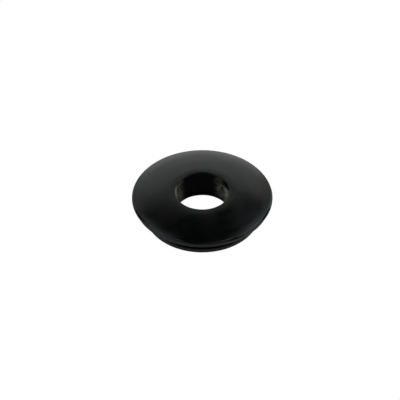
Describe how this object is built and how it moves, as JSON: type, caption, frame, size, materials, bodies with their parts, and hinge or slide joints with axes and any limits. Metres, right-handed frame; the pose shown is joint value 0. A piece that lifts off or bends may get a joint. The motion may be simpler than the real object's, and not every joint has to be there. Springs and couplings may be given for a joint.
{
  "type": "gladhand seal",
  "caption": "Moulded rubber sealing ring for an air-brake coupling: domed flange with a tapered rim, a groove for the coupling's rim, a snap-in lip and a straight air bore.",
  "frame": {"origin": "centre of the foot, in the plane the seal stands on, on the axis of the bore", "axes": "+Z along the bore axis from the snap-in lip to the sealing face; the part is round, so X and Y are alike"},
  "size_m": [0.0446, 0.0446, 0.0098],
  "materials": {
    "rubber": "satin black moulded rubber"
  },
  "bodies": {
    "root": {"gladhand_seal": "rubber"}
  },
  "joints": []
}
